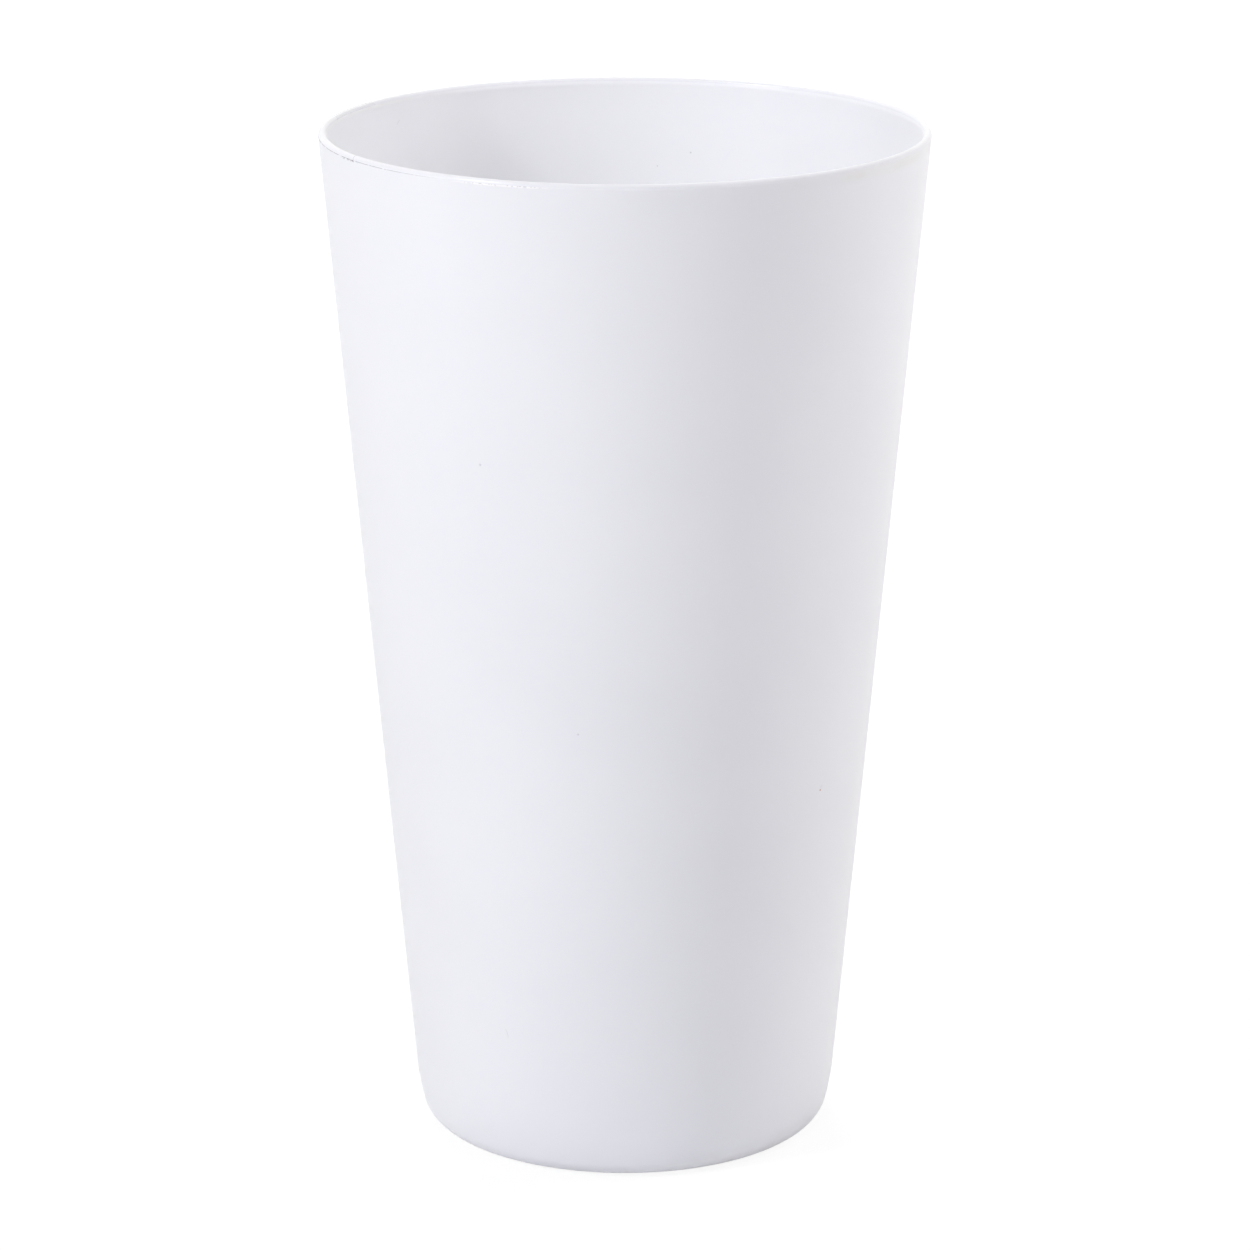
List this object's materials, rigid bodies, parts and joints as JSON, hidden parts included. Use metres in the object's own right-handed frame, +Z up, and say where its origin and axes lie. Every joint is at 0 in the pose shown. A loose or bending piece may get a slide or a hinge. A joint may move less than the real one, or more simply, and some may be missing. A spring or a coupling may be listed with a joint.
{
  "type": "reusable plastic cup",
  "caption": "Tall tapered drinking cup moulded in one piece, with a round lip, a curved heel, a raised base panel and inner stacking ribs.",
  "frame": {"origin": "on the cup's axis, in the plane of the foot ring that it stands on", "axes": "+Z up the cup's axis towards its mouth; the stacking ribs lie along X and Y"},
  "size_m": [0.088, 0.088, 0.1497],
  "materials": {
    "white_plastic": "satin, as moulded"
  },
  "bodies": {
    "root": {"cup": "white_plastic"}
  },
  "joints": []
}
